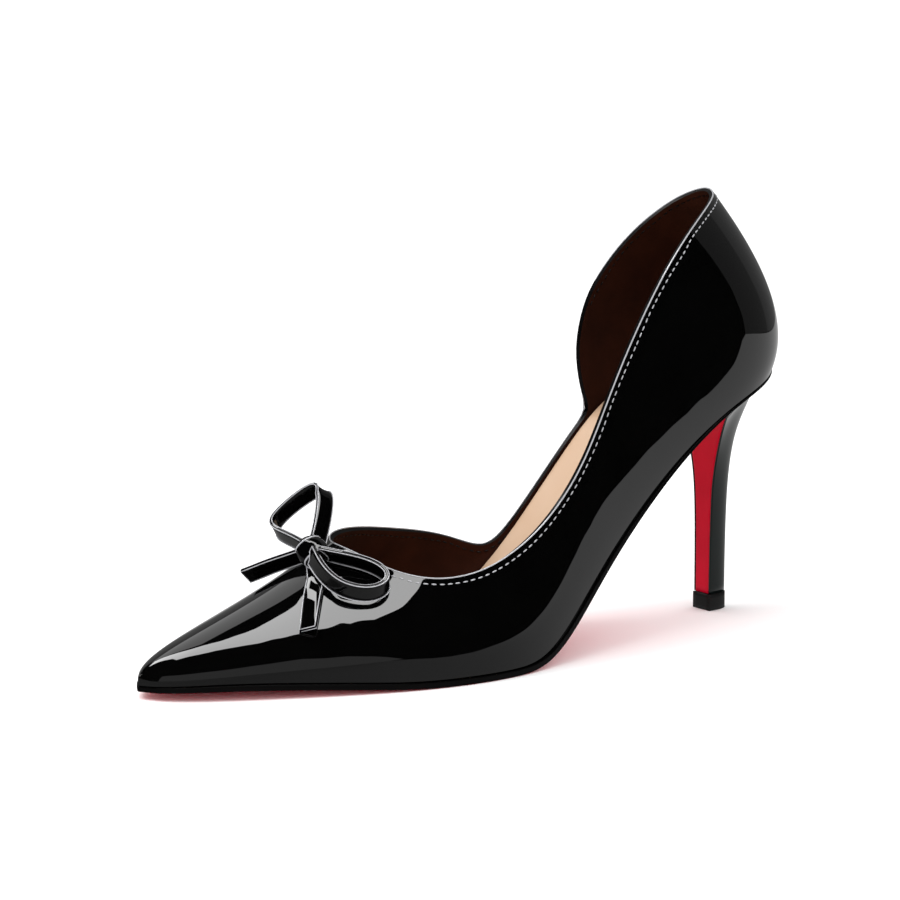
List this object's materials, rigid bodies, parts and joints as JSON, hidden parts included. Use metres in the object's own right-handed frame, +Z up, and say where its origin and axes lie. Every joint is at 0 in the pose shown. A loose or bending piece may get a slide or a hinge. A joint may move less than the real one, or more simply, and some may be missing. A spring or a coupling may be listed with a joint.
{
  "type": "court shoe",
  "caption": "Pointed court shoe for the left foot on a slim stiletto heel, cut away at the inner waist, with a small bow on the vamp; worn on the foot.",
  "frame": {"origin": "centre of the shoe's bounding box on the floor it stands on", "axes": "-X toward the toe, +X toward the heel, +Y toward the inner side of the foot, -Y toward the outer side, +Z up"},
  "size_m": [0.2282, 0.0742, 0.1338],
  "materials": {
    "lacquered_sole": "crimson lacquer, semi gloss, black painted edge",
    "insole_leather": "smooth beige lining leather, satin",
    "patent_upper": "black patent, high gloss, dark brown lining",
    "patent_heel": "black patent cover, high gloss",
    "lacquered_breast": "crimson lacquer, semi gloss",
    "top_piece_rubber": "matt black",
    "patent_bow": "black patent ribbon, high gloss"
  },
  "bodies": {
    "root": {"outsole": "lacquered_sole", "insole": "insole_leather", "upper": "patent_upper", "heel": "patent_heel", "heel_breast": "lacquered_breast", "top_piece": "top_piece_rubber", "bow_knot": "patent_bow", "bow_loop_inner": "patent_bow", "bow_loop_outer": "patent_bow", "bow_tail_inner": "patent_bow", "bow_tail_outer": "patent_bow"}
  },
  "joints": []
}
